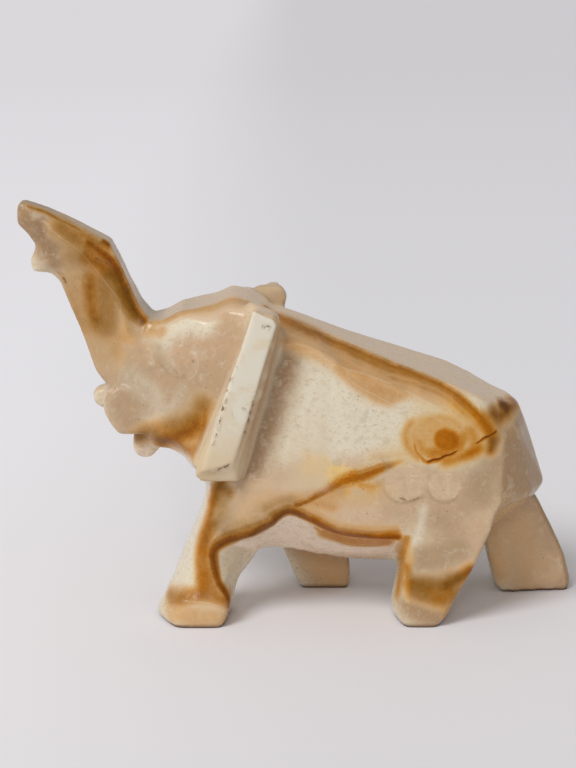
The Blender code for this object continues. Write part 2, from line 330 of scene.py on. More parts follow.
# Patches of stain. Each stroke: depth, width, softness, then its line on the stone's side,
# x towards the tail and z up. A stroke lies on the left side unless rightSide follows.
stains = [
    (0.56, 1.6, 3.4, [(-58, 95), (-54, 92), (-50, 89)]),
    (0.6, 0.8, 2, [(-53, 93.2), (-50, 91.4), (-47, 89.6)]),
    (0.4, 3, 4, [(-54, 88), (-51, 86), (-49, 84)]),
    (0.66, 0.8, 2.4, [(-51, 90.6), (-48.6, 88.4), (-45.4, 86)]),
    (0.68, 1.4, 2.4, [(-52, 87.8), (-48, 85.6), (-45.2, 83.4)]),
    (0.54, 1.8, 3, [(-46.5, 84), (-44.6, 81), (-43, 78)]),
    (0.74, 0.8, 4, [(-51.2, 82), (-51.4, 78), (-51, 74.5), (-50, 72)]),
    (0.38, 1.2, 3, [(-43.8, 78), (-42.4, 74), (-42, 70.4)]),
    (0.52, 3.6, 4, [(-49, 82), (-48.4, 76), (-48.4, 72)]),
    (0.36, 2.6, 3.4, [(-55, 82), (-54.4, 76), (-52.6, 71)]),
    (0.42, 0.4, 1.8, [(-58, 82.6), (-55.8, 76), (-53.2, 69)]),
    (0.34, 1.6, 3, [(-46.4, 70), (-44, 68.6), (-42, 69)]),
    (0.56, 0.7, 2, [(-44.2, 87.6), (-42, 84), (-40.4, 80), (-39.4, 77)]),
    (0.24, 4, 4.6, [(-53, 70), (-51, 67), (-49, 65)]),
    (0.34, 1.6, 3.6, [(-46, 67), (-45, 64.6)]),
    (0.4, 0.8, 2.4, [(-39.4, 72), (-37.4, 70.6), (-34, 70.8)]),
    (0.95, 0.3, 1.1, [(-47.8, 91.4), (-46.8, 90.6)]),
    (0.54, 2, 3, [(-40, 43.6), (-35, 46), (-31, 47.6)]),
    (0.74, 1.6, 3.4, [(-34, 43.6), (-29.5, 46.4), (-26.8, 47.8), (-25.2, 49.4)]),
    (0.56, 1.6, 3.6, [(-23.8, 54), (-25.4, 51), (-28.5, 49)]),
    (0.56, 1.4, 2.6, [(-31, 44), (-27, 43), (-24.4, 43.6)]),
    (0.62, 0.6, 1.5, [(-23.3, 53), (-23.9, 47.2), (-24.8, 42.6), (-25.5, 39.4)]),
    (0.66, 1, 2, [(-19.6, 35.4), (-20.8, 33), (-21.5, 30.4)]),
    (0.62, 0.7, 1.8, [(-21.2, 31.4), (-22.2, 27.4), (-23.2, 23.6), (-23.8, 20)]),
    (0.58, 1.5, 1.6, [(-22, 25), (-23.6, 21.3), (-24.1, 17.6), (-24, 13.9), (-23.8, 9.6)]),
    (0.54, 1.2, 1.8, [(-22.6, 13), (-21.4, 9)]),
    (0.4, 1.6, 2.8, [(-19.4, 33), (-19.8, 29), (-20.8, 25)]),
    (0.54, 1, 2, [(-20, 34), (-18.6, 33.4), (-17.8, 32.6)]),
    (0.42, 1, 2.6, [(-9, 29), (-6, 30.4), (-3, 31.2)]),
    (0.54, 1.4, 2.2, [(-32, 6), (-28.4, 7.4), (-24.8, 8.2)]),
    (0.6, 1.2, 2, [(-25, 8.2), (-21, 7.6), (-18.4, 6.6)]),
    (0.3, 2.4, 3, [(-30, 3.6), (-25, 2.6), (-20.5, 2.6)]),
    (0.56, 0.4, 1.2, [(-17.8, 6.6), (-18, 3.2), (-19.2, 0.4)]),
    (0.3, 0.6, 1.6, [(-33.2, 4), (-31.6, 1.6)]),
    (0.54, 1.7, 1.6, [(5.6, 21.6), (10.1, 20), (15, 19.6), (20, 20.2)]),
    (0.4, 1, 2.6, [(-2, 31.4), (3, 30.4), (7, 29.6)]),
    (0.34, 1.4, 2.6, [(2, 32), (6, 32.4), (10, 33.4)]),
    (0.24, 2.4, 4, [(-16, 25), (-11, 28.6), (-8, 31)]),
    (0.28, 2.4, 2.2, [(-3, 70), (2.4, 67.8), (6.6, 65.6), (10.4, 63.4)]),
    (0.66, 1, 2.4, [(-5, 73), (-1, 71.4), (3, 69.6)]),
    (0.38, 2.2, 2, [(9.6, 63.6), (13.4, 60.6), (17.4, 57.8), (20.4, 56.8)]),
    (0.34, 2.2, 2.2, [(14, 62.6), (19, 59.6), (23, 58)]),
    (0.28, 2.4, 2.6, [(24.2, 59.1), (29, 57.6), (33.8, 55.5), (37.3, 52.6), (40.2, 48.3)]),
    (0.5, 1.2, 3, [(39.8, 48), (41, 45.6), (40.6, 43.4)]),
    (0.36, 5.2, 2.8, [(29.8, 46.8), (33.4, 46.6)]),
    (0.46, 0.6, 1.6, [(25.6, 50.4), (24.2, 47.4), (25, 44.2), (27.4, 41.8)]),
    (0.4, 0.5, 1.6, [(29.8, 51.2), (33.6, 51.6), (37, 49.8), (38.6, 46.6)]),
    (0.46, 1, 1.8, [(27.6, 45.4), (28.6, 43.6), (30.4, 42.4)]),
    (0.52, 1.4, 1.8, [(31, 42.8), (34, 43), (37, 44.6), (37.8, 46.4)]),
    (0.58, 0.8, 2.2, [(33.8, 40.8), (36.2, 41.2), (39, 42.4), (41.6, 43.4)]),
    (0.56, 1, 2.2, [(39.4, 42.6), (42, 44)]),
    (0.64, 2.6, 1, [(33.7, 46.3), (34.5, 45.9)]),
    (0.66, 1.2, 2.4, [(42.6, 50.6), (44.4, 48.2), (45.2, 46)]),
    (0.72, 0.7, 2.2, [(45.2, 45), (44.8, 43.2)]),
    (0.96, 0.8, 1.8, [(48.4, 52.4), (49.4, 51.4)]),
    (0.74, 1, 2.4, [(48, 53.2), (50.2, 52.6), (52, 51.4)]),
    (0.4, 0.6, 2.4, [(49, 53), (51, 51)]),
    (0.28, 1.2, 3, [(17.1, 41.6), (24.2, 42.6), (28, 43)]),
    (0.48, 0.5, 1.6, [(13.6, 35), (16.4, 34.6)]),
    (0.36, 0.8, 2, [(16, 33.6), (18, 35)]),
    (0.2, 1.6, 3, [(6, 31), (14, 31), (20, 33)]),
    (0.3, 1, 2, [(25, 18.4), (25.6, 15.4)]),
    (0.56, 0.8, 1.8, [(25, 14.6), (25.8, 11.6), (28.6, 10.6)]),
    (0.58, 1.8, 2.8, [(26.6, 10.4), (30, 10.2), (33.6, 10), (35.6, 11)]),
    (0.7, 1, 2, [(34.4, 10.4), (36.6, 11.6), (38.6, 12.8), (40.2, 14)]),
    (0.58, 1.8, 2.4, [(29, 8.6), (31.4, 7.8), (33.6, 7.2), (35.2, 8.6)]),
    (0.52, 1.2, 2.4, [(25.6, 10.6), (26.6, 8.6)]),
    (0.46, 0.2, 1, [(39, 12), (37.2, 8.6), (35.2, 5.2), (33.8, 2.4)]),
    (0.22, 4, 5, [(50, 26), (55, 14), (57, 6)]),
    (0.3, 2, 3, [(47, 20), (49, 12), (50.6, 5)]),
    (0.26, 4, 4, [(3, 12), (8, 4)]),
    # The right side, plainer
    (0.34, 2.2, 3.4, [(-48, 84), (-50, 78), (-49, 71)], rightSide),
    (0.52, 1, 3.4, [(-50, 89), (-46, 84), (-43, 79)], rightSide),
    (0.56, 1.2, 3.8, [(-36, 43), (-30, 45.4), (-25.6, 49)], rightSide),
    (0.32, 2, 3, [(-2, 69.4), (8, 65), (18, 60.4), (28, 58), (38, 52)], rightSide),
    (0.46, 1.4, 3.2, [(4.6, 24), (3.6, 16), (4, 9)], rightSide),
    (0.44, 1, 3, [(1.4, 6), (6, 8), (10.6, 6)], rightSide),
    (0.42, 2, 3.4, [(51, 13), (56, 11), (62, 12)], rightSide),
    (0.62, 0.6, 2.6, [(56, 10), (60.6, 10.6), (63, 12)], rightSide),
    (0.28, 3, 4, [(44, 44), (48, 40), (50, 33)], rightSide),
    (0.4, 1.6, 2.4, [(37, 41), (38.6, 40)], rightSide),
]

# Where the stain turns olive or golden
stainHues = {
    "olive": [
        (1, 2.4, 3, [(-46.6, 81), (-46.2, 76), (-47.4, 71)]),
        (0.6, 5, 4, [(-56, 84), (-53, 74), (-49, 66)]),
        (1, 1.2, 2.4, [(-43.4, 79), (-41.8, 74.6), (-40, 71)]),
        (0.7, 2.6, 3.4, [(-58, 94), (-55, 91), (-55, 87)]),
        (0.8, 2.4, 3, [(-31, 50), (-27, 53.6), (-24, 56)]),
        (0.8, 1.8, 3, [(-40, 43.6), (-36, 45)]),
        (0.9, 1.8, 2.4, [(-18.8, 33), (-19, 28.6), (-19.6, 25)]),
        (0.8, 1.4, 1.8, [(-17, 24), (-12, 25.6), (-8, 28.6)]),
        (1, 3.4, 3, [(26.6, 11.4), (30, 10.4), (35, 10)]),
        (0.9, 2.4, 3, [(40, 54), (43, 50.4), (45.6, 46.4)]),
        (0.8, 2, 2.4, [(38, 42), (42, 45)]),
        (0.8, 0.8, 1.6, [(25.2, 50.6), (23.8, 47.4), (24.6, 44.2), (27, 41.6)]),
        (0.7, 2, 2.4, [(-11, 27.6), (-4, 31)]),
        (0.4, 1.6, 2.4, [(-33, 6), (-29, 7.6)]),
        (0.8, 2.6, 2.4, [(9, 36), (14.6, 37.4), (20, 39.6)]),
        (0.5, 2, 3, [(-38, 71.4), (-24, 75), (-12, 78)]),
        (0.7, 1.6, 2.4, [(-66, 99.8), (-58, 97), (-49, 92.4)]),
        (0.6, 2, 3, [(18, 38.8), (28, 42)]),
        (0.4, 3, 3, [(10, 66.6), (30, 59)]),
        (0.4, 2, 3, [(-15, 22.4), (-9, 25.4)]),
        (0.5, 2, 3, [(-2, 71.6), (6, 68.6)]),
        (0.6, 3, 3, [(47, 54), (50, 50)]),
    ],
    "gold": [
        (1, 8, 3, [(28, 46), (35, 46)]),
        (1, 3, 2, [(0.5, 39), (9.6, 38.4)]),
        (0.6, 2.6, 2, [(6, 35.4), (17, 39)]),
        (1, 2, 2, [(12.4, 33.4), (15.4, 33.4)]),
        (0.4, 1.4, 2, [(31.6, 8), (33.4, 6.6), (35.4, 8)]),
        (0.5, 2, 2, [(-24.6, 18), (-25.4, 10)]),
        (0.6, 1.6, 2, [(38.8, 55.4), (42.6, 51.4), (44.6, 48)]),
        (0.3, 2, 2.4, [(-51.6, 80), (-51.4, 75)]),
        (1, 2.4, 2, [(2, 24), (8, 20.6), (14, 19.4), (21, 20.4)]),
        (0.8, 2, 2, [(24.4, 20), (23.8, 11), (22.6, 3)]),
        (1, 4, 3, [(37, 41), (39, 40)], rightSide),
    ],
}

# Patches of the stone's other tones, and of painted shade and painted highlights, laid in the order of first
# mention. Each stroke: tone, width, softness and cover, then its line.
coats = [
    ("rose", 9, 8, 1, [(-48, 72), (-42, 62), (-34, 58), (-26, 60)]),
    ("rose", 7, 6, 1, [(-28, 66), (-21, 68), (-18, 62)]),
    ("rose", 6, 6, 0.9, [(-40, 50), (-32, 54), (-24, 54)]),
    ("rose", 5, 5, 1, [(-64, 96), (-58, 90)]),
    ("rose", 5, 5, 0.9, [(-20, 74), (-17, 66), (-19, 58)]),
    ("rose", 6, 8, 0.3, [(-8, 38), (0, 40), (10, 43), (20, 45)]),
    ("rose", 7, 7, 0.8, [(-14, 28), (-4, 32), (6, 33), (16, 30), (26, 32), (36, 32)]),
    ("rose", 8, 6, 0.8, [(38, 30), (37, 18), (34, 6)]),
    ("rose", 8, 5, 1, [(52, 42), (56, 30), (60, 14), (62, 4)]),
    ("rose", 5, 5, 0.9, [(-4, 16), (4, 14), (14, 15)]),
    ("rose", 6, 4, 0.9, [(4, 12), (9, 3)]),
    ("milk", 2.4, 3.4, 0.9, [(-34, 68), (-32.6, 71), (-28, 73), (-23.4, 74)]),
    ("milk", 1.2, 2.4, 0.5, [(-35, 68), (-33, 64.4), (-30.6, 62)]),
    ("milk", 2, 3.4, 1, [(-41.4, 58.7), (-37.6, 56), (-35, 52.6), (-36, 48.6)]),
    ("milk", 0.8, 2.2, 0.8, [(-33, 51.6), (-30.6, 54), (-29, 57)]),
    ("milk", 0.4, 1.6, 0.45, [(-27.4, 60.6), (-25.6, 63), (-25.8, 66)]),
    ("milk", 9, 8, 0.9, [(-2, 60), (6, 54), (14, 51)]),
    ("milk", 5, 7, 0.7, [(-2, 47), (4, 46), (12, 49), (20, 50)]),
    ("milk", 2.4, 1.6, 1, [(-26, 28.6), (-29, 21), (-31, 13), (-34, 7)]),
    # painted highlight along the front rim of the left hind leg
    ("milk", 0.5, 2.2, 0.8, [(28.8, 29), (28.4, 25.8), (27.6, 21.8), (27, 18.6)]),
    # painted sheen along the haunch's rim
    ("milk", 0.3, 1.2, 0.6, [(46.6, 52), (48, 48.5), (48.8, 44.1), (49.2, 38.4)]),
    # painted shadow cast by the left ear on the flank behind it, over some real stain
    ("greige", 2.8, 4, 0.7, [(-1.8, 68), (-3.8, 61), (-6.8, 51), (-10.2, 42), (-14, 35)]),
    ("greige", 0.2, 0.8, 1, [(19.8, 36), (19.6, 33.6), (21, 31.6), (23.4, 30.8), (26, 31), (28.2, 32.6)]),
    ("greige", 0.2, 0.8, 1, [(30, 34.6), (30.6, 32.2), (32.4, 30.8), (35, 30.6), (37, 32)]),
    ("greige", 0.2, 0.8, 0.8, [(28.8, 35.4), (27.6, 38.4), (24.6, 40)]),
    ("greige", 8, 8, 0.62, [(-46, 66), (-40, 58), (-30, 54), (-22, 56)]),
    ("greige", 3.4, 4, 0.6, [(-26, 57), (-30, 53), (-23, 58)]),
    ("greige", 3, 4, 0.8, [(44.4, 40), (43, 33)]),
    ("greige", 2, 3, 0.35, [(-17.4, 12), (-15, 18)]),
    ("greige", 2, 3, 0.7, [(-45, 52), (-42, 48), (-38, 47)]),
    ("greige", 2, 2.4, 0.6, [(-35.4, 66), (-33.6, 62.6), (-30.6, 59.6)]),
    ("greige", 2.2, 3.5, 0.5, [(40, 42), (42, 36), (40, 30)]),
    ("greige", 3, 4, 0.6, [(33, 26), (36, 21)]),
    ("greige", 2.4, 3, 0.9, [(28, 17), (32, 17.4), (37, 19)]),
    ("greige", 1.2, 2.4, 0.6, [(-27, 57), (-30, 53), (-34, 51)]),
    ("drab", 4, 4, 1, [(-65, 98), (-60, 93), (-57.4, 89)]),
    # painted shade on the left hind foot, which faces a little down
    ("drab", 2.4, 2.4, 0.8, [(26, 5.4), (31, 4.2), (34.6, 5.6)]),
    # painted shadow cast by the left ear on the flank behind it, darker, over some real stain
    ("bark", 1.6, 2.8, 0.9, [(-2.6, 68), (-4.8, 61), (-7.6, 52), (-10.4, 44), (-13, 37.4)]),
    ("bark", 2.4, 3, 0.9, [(-63, 94), (-60, 91), (-57.6, 94)]),
    ("bark", 0.2, 0.9, 0.5, [(-34.4, 63), (-33, 61.2), (-30.6, 60), (-28, 60.4)]),
    ("bark", 0.8, 2.4, 0.5, [(-66.4, 101), (-60, 99), (-56, 97)]),
    ("blush", 4, 3, 0.7, [(52, 20), (58, 12), (62, 6)]),
    ("blush", 2.4, 3, 0.6, [(-12, 34), (-8, 31), (-4, 32)]),
    ("blush", 3, 3, 0.4, [(-20, 77), (-15, 76)]),
    ("blush", 2.4, 3, 0.5, [(-37, 69), (-39, 65)]),
    ("lobe", 4.2, 0.6, 1, [(23.8, 35.4), (25.2, 35.6)]),
    ("lobe", 3.4, 0.6, 1, [(33.4, 34.8), (34.2, 34.8)]),
    ("lobe", 2, 3, 0.9, [(4, 28.4), (10, 27.6), (16, 28)]),
    ("lobe", 1.6, 3, 0.8, [(10.6, 39.8), (13.4, 39.8)]),
    ("straw", 1.4, 2.4, 1, [(1.4, 38.8), (5, 38.2), (9.4, 37.6)]),
    ("straw", 1, 2, 0.7, [(1, 41.6), (5, 40.6)]),
    # painted light under the jaw, lifting its shade, over the tusk stub's own pale tone
    ("paintedBounceLight", 3, 2.4, 0.8, [(-41, 42), (-38, 39)]),
    ("rose", 9, 8, 0.8, [(-44, 66), (-34, 58), (-26, 62)], rightSide),
    ("rose", 8, 8, 0.7, [(-6, 34), (8, 36), (22, 32), (34, 36)], rightSide),
    ("rose", 7, 6, 0.8, [(54, 30), (57, 16), (60, 5)], rightSide),
    ("rose", 5, 5, 0.8, [(4, 20), (6, 6)], rightSide),
    ("milk", 8, 8, 0.9, [(0, 56), (12, 52), (24, 48)], rightSide),
    ("milk", 2.4, 3.4, 0.8, [(-34, 70), (-28, 73)], rightSide),
    # painted shade behind the right ear, as on the left
    ("greige", 2.6, 4, 0.5, [(-2, 66), (-7, 52), (-12, 36)], rightSide),
    ("drab", 3.4, 4, 0.7, [(-64, 97), (-58, 90)], rightSide),
]

# Bands of stain that follow a line: x towards the tail, z up, then how wide the band is above
# the line and below it. "ends" is how long the band fades in and out. "depth" is how far from
# the middle the line's ends lie, for a line near the back's ridge. "streaks" and "grit" are how
# much layers and fine grain break up its rims. In "stain", -1 is the band's upper rim, 0 its
# line and 1 its lower rim, each with the depth of the stain there.
bands = {
    "backBand": {
        "ends": (3, 3), "depth": (5, 18), "streaks": 0.4, "grit": 0.24,
        "line": [
            (-10.6, 78, 0.9, 1.6), (-6.6, 75.6, 1.2, 2), (-3.1, 72.6, 1.3, 2.4), (1.7, 70.4, 1.3, 2.4),
            (6.5, 68.4, 1.3, 2.2), (11.3, 66.1, 1.3, 2.4), (16, 64.1, 1.2, 2.8), (20.7, 62.1, 1.2, 2.8),
            (25.5, 60.6, 1.2, 2.2), (30.3, 59.2, 1.2, 1.9), (33.8, 57.6, 1.2, 1.9),
            (37.4, 55.4, 1.2, 2.2), (40.3, 53, 1.2, 2.4), (43.1, 50.2, 1.1, 2.4), (45.4, 46.8, 1, 2)],
        "stain": [
            (-1.8, 0), (-1, 0.2), (-0.5, 0.46), (0, 0.65), (0.35, 0.57), (0.8, 0.4), (1.3, 0.33),
            (2, 0.25), (3.2, 0)],
    },
    "foldBand": {
        "ends": (5, 4), "depth": (16, 18), "streaks": 0.4,
        "line": [
            (16.2, 60.4, 1.2, 1), (19.4, 60.8, 1.2, 1), (22.6, 60.6, 1.1, 1.1), (26.7, 59.8, 1.1, 1.2),
            (30.8, 58.6, 1.1, 1.3), (34.5, 56.1, 1.2, 1.4), (37.8, 52.8, 1.2, 1.4), (40.9, 49.4, 1, 1.2)],
        "stain": [(-1.8, 0), (-0.8, 0.26), (-0.1, 0.46), (0.2, 0.44), (0.8, 0.26), (1.8, 0)],
    },
    "hemBand": {
        "ends": (2, 2), "streaks": 0.25,
        "line": [
            (-17.9, 3.1, 0.8, 0.8), (-18, 6.3, 0.9, 0.9), (-19, 8.3, 1, 1.1), (-20.5, 10.6, 1, 1.2),
            (-21.4, 13.2, 1.1, 1.4), (-21.9, 15.9, 1.3, 1.5), (-21.9, 18.4, 1.6, 1.6),
            (-20.7, 20, 2, 1.6), (-18.5, 20.8, 2.4, 1.6), (-15.1, 21.9, 2.8, 1.5),
            (-11.5, 23.2, 2.8, 1.5), (-8.4, 24.8, 2.6, 1.5), (-6, 27, 2.2, 1.4), (-3.6, 28.4, 2, 1.4),
            (-0.7, 27.5, 2, 1.4), (2.9, 25.8, 2, 1.4), (6.5, 23.6, 2, 1.3), (10.1, 22.5, 2, 1.2),
            (14.9, 22, 2, 1.2), (19.7, 22.2, 2, 1.3), (22.8, 22.2, 2, 1.4), (24.8, 22.6, 1.6, 1.4)],
        "stain": [
            (-2.6, 0), (-1.8, 0.14), (-1.1, 0.32), (-0.55, 0.54), (-0.1, 0.74), (0.35, 0.8), (0.7, 0.64),
            (1, 0.4), (1.4, 0)],
    },
    "scallopBand": {
        "ends": (3, 3), "streaks": 0.2,
        "line": [
            (1.6, 25, 0.6, 0.5), (4.4, 22, 0.7, 0.6), (7.6, 19.6, 0.7, 0.6), (11, 18.2, 0.7, 0.6),
            (14.9, 17.8, 0.7, 0.6), (19, 18.6, 0.7, 0.6), (22.4, 20.2, 0.7, 0.6)],
        "stain": [(-2.6, 0), (-1.4, 0.3), (-0.3, 0.46), (0.2, 0.52), (0.8, 0.3), (1.8, 0)],
    },
    "shinBand": {
        "ends": (1, 7), "streaks": 0.2, "grit": 0.24,
        "line": [
            (25.2, 23.1, 1, 1.4), (24.7, 18.7, 1, 1.7), (24.3, 14.9, 1, 1.7), (23.8, 11, 1, 1.5),
            (23.2, 7.5, 0.9, 1.2), (22.7, 4, 0.8, 1), (22.6, 1.4, 0.7, 0.9)],
        "stain": [(-1.8, 0), (-0.9, 0.3), (-0.2, 0.46), (0.3, 0.48), (0.8, 0.4), (1.1, 0.32), (1.9, 0)],
    },
    "trunkBand": {
        "ends": (3, 2), "depth": (5, 8), "streaks": 0.3,
        "line": [
            (-53.5, 93.4, 0.6, 1.2), (-50, 90.8, 0.7, 1.6), (-46.6, 88.4, 0.7, 2), (-44, 85.2, 0.7, 2.4),
            (-42.7, 82.4, 0.7, 2.6), (-41.1, 78.6, 0.7, 2.6), (-39.6, 75.2, 0.7, 2.2),
            (-38, 73, 0.7, 1.6), (-36.4, 72, 0.7, 1.2)],
        "stain": [
            (-2.8, 0), (-1.8, 0.26), (-0.8, 0.5), (-0.1, 0.72), (0.3, 0.8), (0.65, 0.68), (1.1, 0.5),
            (2, 0)],
    },
    "lipBand": {
        "ends": (2, 3), "depth": (4, 6), "streaks": 0.3,
        "line": [
            (-67.4, 101.2, 0.5, 0.7), (-63.1, 99.8, 0.6, 0.7), (-58.7, 98, 0.6, 0.8),
            (-54.1, 95.8, 0.5, 0.9), (-50.4, 93.8, 0.4, 0.9)],
        "stain": [(-1.6, 0), (-0.5, 0.4), (0.1, 0.6), (0.6, 0.4), (1.8, 0)],
    },
    "browBand": {
        "ends": (1, 2), "depth": (8, 10), "streaks": 0.2,
        "line": [
            (-38.6, 73, 0.8, 1.2), (-34.5, 72.8, 0.8, 1.1), (-31.7, 73.8, 0.8, 1), (-28.6, 75, 0.8, 1),
            (-26, 74.6, 0.7, 0.9), (-24.1, 75.2, 0.7, 1), (-21.6, 76.6, 0.8, 1.2), (-18.6, 78, 0.8, 1.3),
            (-15.2, 78.3, 0.8, 1.4), (-12.6, 78.6, 0.8, 1.4), (-9.7, 77, 0.8, 1.4)],
        "stain": [(-1.8, 0), (-0.7, 0.22), (0, 0.38), (0.5, 0.34), (1.2, 0.22), (2.4, 0)],
    },
    "veinBand": {
        "ends": (2, 14), "streaks": 0.5, "grit": 0.7,
        "line": [
            (-3.6, 29, 1.2, 0.8), (-0.2, 30.3, 1.2, 0.8), (2.1, 31.5, 1.2, 0.9), (4.5, 33, 1.3, 1.1),
            (6.9, 34.4, 1.3, 1.3), (9.3, 35.7, 1.6, 1.5), (11.7, 36.5, 1.9, 1.8), (14.5, 37.2, 2, 1.8),
            (17.4, 38.5, 1.9, 1.5), (20.2, 39.7, 1.4, 1.1), (23.6, 40.9, 1, 0.9), (26.6, 41.9, 0.9, 0.8),
            (30, 42.6, 0.9, 0.8)],
        "stain": [(-1.9, 0), (-1.2, 0.24), (-0.55, 0.5), (-0.1, 0.66), (0.3, 0.66), (0.8, 0.42), (1.6, 0)],
    },
    "crackBand": {
        "ends": (1.5, 1.5), "streaks": 0.1,
        "line": [
            (28.4, 41, 0.4, 0.4), (29.6, 40.6, 0.7, 0.8), (31, 41.2, 0.8, 1), (32.4, 41.4, 0.7, 0.9),
            (33.8, 42.2, 0.8, 1), (35.4, 42.6, 0.6, 0.8), (36.6, 43.4, 0.5, 0.6), (37.8, 43.8, 0.3, 0.4)],
        "stain": [(-1.5, 0), (-0.6, 0.4), (-0.15, 0.86), (0.1, 0.92), (0.45, 0.56), (1.6, 0)],
    },
    "crackEndBand": {
        "ends": (1.5, 1), "streaks": 0.1,
        "line": [
            (40, 44.8, 0.3, 0.4), (41.6, 45.2, 0.5, 0.6), (43, 46.3, 0.7, 0.8), (44.6, 46.8, 0.8, 1),
            (46.8, 48, 0.8, 1)],
        "stain": [(-1.5, 0), (-0.6, 0.4), (-0.15, 0.82), (0.1, 0.86), (0.45, 0.54), (1.6, 0)],
    },
    "ringBand": {
        "ends": (1.5, 1.5), "streaks": 0.2,
        "line": [
            (26, 46.6, 0.2, 0.2), (26.5, 45, 0.4, 0.4), (26.8, 43.4, 0.5, 0.5), (27.9, 42.2, 0.4, 0.5),
            (29, 40.9, 0.6, 0.7), (30.6, 40.6, 0.5, 0.6)],
        "stain": [(-1.6, 0), (-0.3, 0.52), (0.3, 0.52), (1.6, 0)],
    },
    "rightBackBand": {
        "side": rightSide, "ends": (4, 4), "depth": (12, 18), "streaks": 0.5,
        "line": [
            (-1, 71.8, 1.4, 2.2), (4, 70, 1.5, 2.2), (10, 67.8, 1.5, 2), (20, 63.8, 1.5, 1.8),
            (31, 60, 1.5, 1.7), (40, 55.4, 1.4, 1.8), (45, 49.5, 1, 1.6)],
        "stain": [(-1.3, 0), (-0.4, 0.34), (0.05, 0.6), (0.4, 0.46), (0.9, 0.28), (1.5, 0)],
    },
    "rightVeinBand": {
        "side": rightSide, "ends": (5, 5), "streaks": 0.6, "grit": 0.6,
        "line": [
            (34, 44, 0.9, 1.2), (26, 40.6, 1.3, 1.6), (18, 38.6, 1.5, 1.8), (10, 34.4, 1.5, 1.7),
            (3, 31, 1.2, 1.4), (-4, 29.6, 1, 1)],
        "stain": [(-1.9, 0), (-0.8, 0.3), (-0.2, 0.5), (0.1, 0.54), (0.6, 0.38), (1.9, 0)],
    },
    "rightHemBand": {
        "side": rightSide, "ends": (5, 6), "streaks": 0.5, "grit": 0.3,
        "line": [
            (6, 22, 1.6, 1.6), (12, 22.6, 2, 2), (20, 21.6, 2.2, 3), (30, 21.6, 2.2, 3.4),
            (38, 23.4, 2, 2.6), (44, 25.6, 1.6, 1.6)],
        "stain": [(-1.7, 0), (-0.6, 0.34), (-0.1, 0.56), (0.2, 0.58), (0.5, 0.44), (0.9, 0.34), (1.6, 0)],
    },
}

# Fine lines, in groups. Each: strength, then the line on the left side.
fineLines = {
    "rimGlintLines": [      # worn rims of the facets: a low ridge in the bump, with a painted highlight along it
        (0.8, [
            (-2.4, 69.2), (2.1, 67.8), (6.3, 65.8), (9.9, 63.2), (13.5, 62.2), (17, 60.9), (21.3, 59.3)]),
        (0.7, [
            (9.9, 63.2), (11.5, 60.1), (14.6, 58.2), (18.2, 56.3), (21.7, 54.6), (26.5, 52.9),
            (30.1, 51.9), (33.7, 50)]),
        (1, [(23.6, 58.2), (27.7, 56.2), (31.2, 54.3), (34.2, 53.8), (35.6, 52)]),
        (0.35, [
            (-61.7, 95.2), (-57.7, 92.4), (-53.4, 89.1), (-50.6, 85.7), (-48.7, 83.5), (-46.4, 80.4),
            (-44.7, 78), (-43.7, 75.7), (-44, 73.2), (-43.1, 70.9), (-41.6, 68.6)]),
        (0.8, [(-29.6, 6.7), (-26, 6.5), (-22.4, 6.1), (-19.5, 5.3)]),
        (0.8, [(-26.4, 66.4), (-25.2, 65), (-25, 63), (-26, 60.6), (-27.6, 59.4)]),
    ],
    "dirtLines": [      # chips and dirt along the ear's sawn edges, and small cracks
        (0.9, [(-15.6, 66), (-17.1, 61), (-18.7, 55.4), (-20.4, 49), (-21.8, 45)]),
        (0.9, [(-22.8, 38.9), (-20.9, 39.3), (-18.3, 40.4), (-16.2, 41.4)]),
        (1, [(-14.6, 54.7), (-13, 54.4)]),
        (0.6, [(-10.9, 60), (-12.6, 53), (-14.2, 47)]),
        (1, [(-10.2, 74.3), (-7.3, 74.2)]),
        (0.8, [(-9, 73.4), (-7.6, 73.2)]),
        (0.7, [(-59.5, 84.2), (-58, 82.6), (-57.2, 80.4)]),
        (0.6, [(-51.4, 89.6), (-49.4, 87.4), (-47, 86.2), (-45.6, 84.2)]),
        (0.6, [(-31.9, 62.4), (-29.8, 60.4)]),
        (0.7, [(-26.2, 65), (-26.1, 63.4)]),
        (0.6, [(22.4, 32), (25.6, 31.2), (29.2, 32.2)]),
    ],
}

# How the marks are laid on the stone
laying = {
    "strokeStep": 1.5, "bandStep": 1.2, "lineStep": 1.0,     # between the places along a line
    "strokeRim": (0.6, 1.3),     # a stroke fades from inside its width to outside, in softnesses
    "strokeBlend": 6,        # higher: strokes that meet run into one another less
    "bandReach": 16, "lineReach": 3,     # how far from its line a mark is looked for
    "bandFade": (8.5, 10),   # where a band ends at the latest
    "sideView": (1, 0.35, 1),    # distances are nearly as seen from the side
    "farOff": 1e3,
}


def curveThrough(line, step):
    # A smooth line through the given places, with a point about every step
    knots = np.array(line, dtype=float)
    ends = np.vstack([2 * knots[0] - knots[1], knots, 2 * knots[-1] - knots[-2]])
    found = []
    for index in range(1, len(ends) - 2):
        a, b, c, d = ends[index - 1:index + 3]
        pieces = max(1, round(float(np.hypot(*(c - b)[:2])) / step))
        for t in np.arange(pieces) / pieces:
            found.append(0.5 * (2 * b + (c - a) * t + (2 * a - 5 * b + 4 * c - d) * t ** 2
                                + (3 * b - a - 3 * c + d) * t ** 3))
    return np.array(found + [knots[-1]])


def onStone(tree, path, side, depth=None):
    # The path's places on the stone, looked for from one side, or from a given depth
    found = []
    for index, (x, z) in enumerate(path[:, :2]):
        hit = None
        if depth is None:
            hit = tree.ray_cast(Vector((x, side * 60, z)) * mm, Vector((0, -side, 0)))[0]
            across = 16
        else:
            across = depth[0] + (depth[1] - depth[0]) * index / max(len(path) - 1, 1)
        found.append(hit if hit is not None else tree.find_nearest(Vector((x, side * across, z)) * mm)[0])
    return np.array(found) / mm


